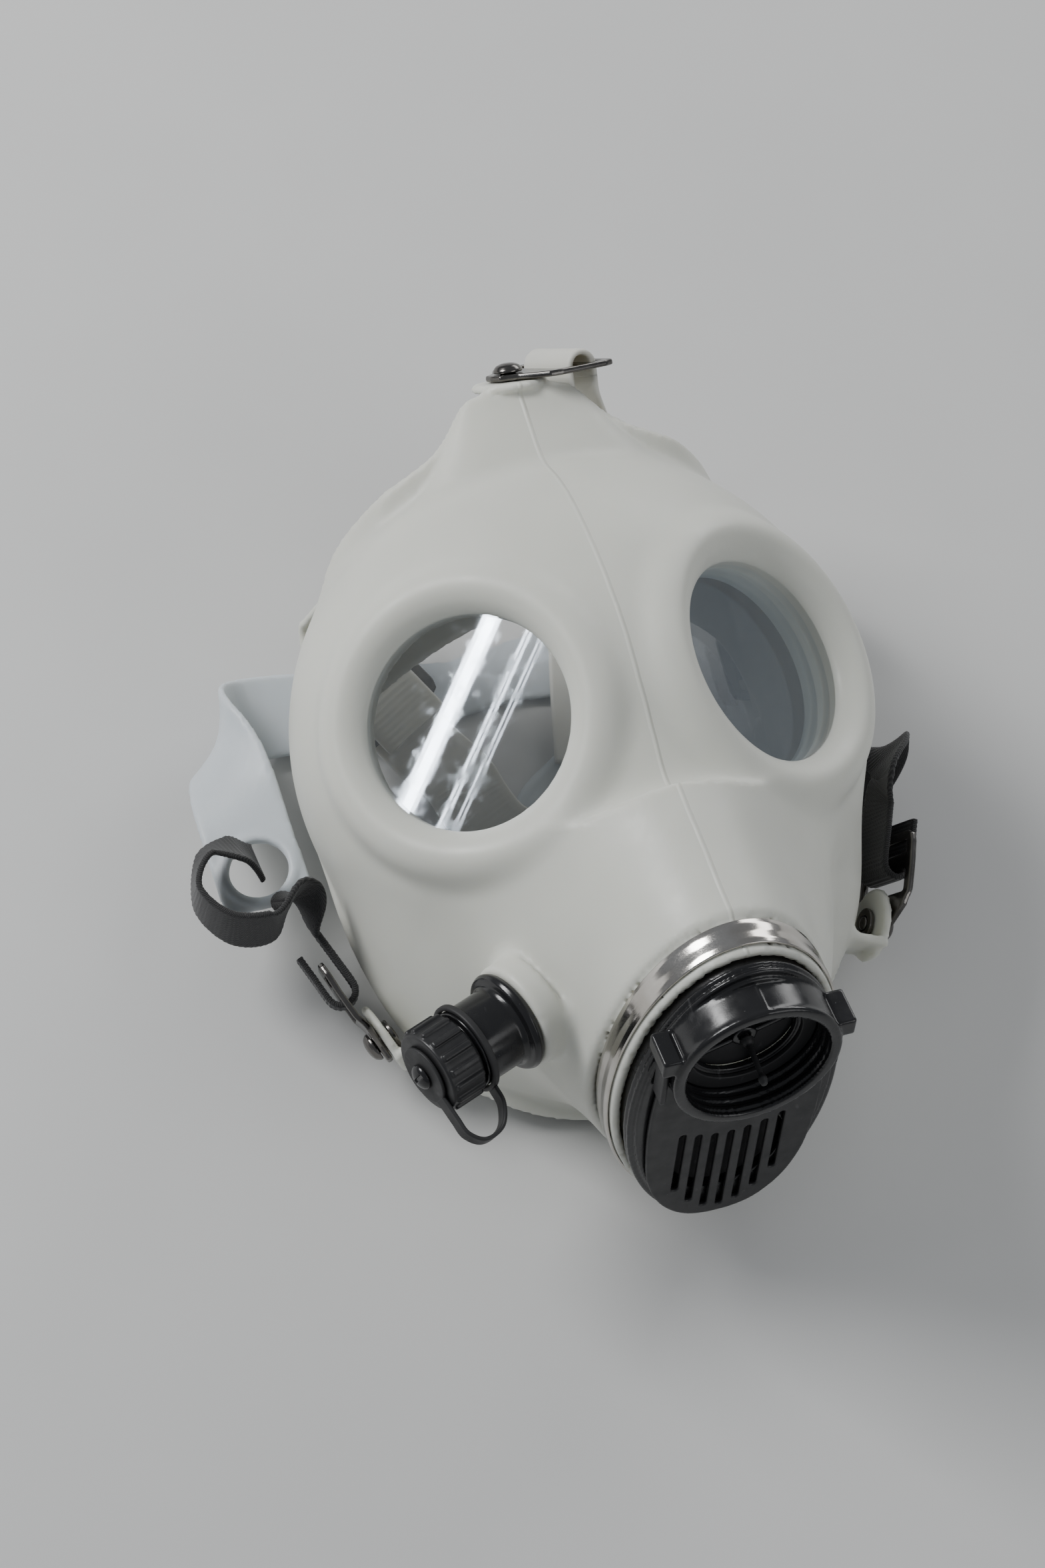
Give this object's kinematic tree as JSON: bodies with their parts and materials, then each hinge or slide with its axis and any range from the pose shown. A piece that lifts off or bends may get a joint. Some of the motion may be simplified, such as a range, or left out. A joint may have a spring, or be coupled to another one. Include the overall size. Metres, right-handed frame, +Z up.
{
  "type": "full face respirator",
  "caption": "Full face respirator: silicone facepiece, twin round lenses, filter collar with slotted exhale cover, capped drinking tube and buckled head harness.",
  "frame": {"origin": "middle of the underside of the whole part's box, on the surface that the mask lies on", "axes": "+Z up, out of the lying mask's face; +Y towards the top of the wearer's head; +X towards the right as seen from the front"},
  "size_m": [0.2222, 0.2442, 0.1221],
  "materials": {
    "silicone": "satin translucent silicone",
    "thin_silicone": "satin translucent silicone",
    "lens": "clear polished",
    "black_plastic": "satin moulded",
    "black_rubber": "matte",
    "steel_band": "polished stainless",
    "gunmetal": "dark nickel plate",
    "webbing": "woven"
  },
  "bodies": {
    "mask": {"facepiece": "silicone", "lens_left": "lens", "lens_right": "lens", "clamp_band": "steel_band", "band_clip": "steel_band", "valve_housing": "black_plastic", "inhale_seat": "black_plastic", "collar_gasket": "black_rubber", "exhale_seat": "black_plastic", "drink_tube": "black_plastic", "tube_nut": "black_plastic", "leash_ring": "black_rubber", "cap_leash": "black_rubber", "rivet_top": "gunmetal", "washer_top": "gunmetal", "rivet_temple_left": "gunmetal", "washer_temple_left": "gunmetal", "rivet_temple_right": "gunmetal", "washer_temple_right": "gunmetal", "rivet_cheek_left": "gunmetal", "washer_cheek_left": "gunmetal", "rivet_cheek_right": "gunmetal", "washer_cheek_right": "gunmetal", "head_pad": "thin_silicone", "strap_top": "silicone", "strap_temple_left": "silicone", "strap_temple_right": "silicone", "neck_pad": "thin_silicone", "webbing_left": "webbing", "webbing_right": "webbing"},
    "inhale_flap": {"inhale_valve": "black_rubber"},
    "exhale_flap": {"exhale_valve": "black_rubber"},
    "cover": {"exhale_cover": "black_plastic"},
    "cap_pin": {"cap_button": "black_plastic", "leash_eye": "black_rubber"},
    "cap": {"tube_cap": "black_plastic", "cap_gasket": "black_rubber"},
    "top_buckle": {"buckle_top": "gunmetal", "strap_end_top": "silicone"},
    "temple_buckle_left": {"buckle_temple_left": "gunmetal", "strap_end_temple_left": "silicone"},
    "temple_buckle_right": {"buckle_temple_right": "gunmetal", "strap_end_temple_right": "silicone"},
    "cheek_buckle_left": {"buckle_cheek_left": "gunmetal", "strap_end_cheek_left": "webbing"},
    "cheek_buckle_right": {"buckle_cheek_right": "gunmetal", "strap_end_cheek_right": "webbing"}
  },
  "joints": [
    {"name": "inhale_lift", "type": "slide", "parent": "mask", "child": "inhale_flap", "axis": [0, 0.9707, -0.2402], "range_m": [0, 0.0009], "stiffness_N_per_m": 60},
    {"name": "exhale_lift", "type": "slide", "parent": "mask", "child": "exhale_flap", "axis": [0, -0.9707, 0.2402], "range_m": [0, 0.0012], "stiffness_N_per_m": 60},
    {"name": "cover_pull", "type": "slide", "parent": "mask", "child": "cover", "axis": [0, -0.9707, 0.2402], "range_m": [0, 0.012]},
    {"name": "cap_advance", "type": "slide", "parent": "mask", "child": "cap_pin", "axis": [-0.9292, -0.3607, 0.0808], "range_m": [0, 0.0045]},
    {"name": "cap_turn", "type": "hinge", "parent": "cap_pin", "child": "cap", "pos_m": [-0.04235, -0.07014, 0.06691], "axis": [-0.9292, -0.3607, 0.0808], "range_deg": [0, 540]},
    {"name": "top_swivel", "type": "hinge", "parent": "mask", "child": "top_buckle", "pos_m": [0.00675, 0.10718, 0.09458], "axis": [0.02, 0.7928, 0.6092], "range_deg": [-8, 12]},
    {"name": "temple_swivel_left", "type": "hinge", "parent": "mask", "child": "temple_buckle_left", "pos_m": [-0.04675, 0.07088, 0.01816], "axis": [0, -0.2079, 0.9781], "range_deg": [-12, 12]},
    {"name": "temple_swivel_right", "type": "hinge", "parent": "mask", "child": "temple_buckle_right", "pos_m": [0.08375, 0.06134, 0.01205], "axis": [0, -0.2079, 0.9781], "range_deg": [-8, 12]},
    {"name": "cheek_swivel_left", "type": "hinge", "parent": "mask", "child": "cheek_buckle_left", "pos_m": [-0.06825, -0.04963, 0.01708], "axis": [-0.9093, -0.3138, -0.2733], "range_deg": [-12, 12]},
    {"name": "cheek_swivel_right", "type": "hinge", "parent": "mask", "child": "cheek_buckle_right", "pos_m": [0.08175, -0.04963, 0.01708], "axis": [0.9093, -0.3138, -0.2733], "range_deg": [-12, 12]}
  ],
  "couplings": [
    {"joint": "cap_advance", "follows": "cap_turn", "m_per_rad": 0.00047746}
  ]
}
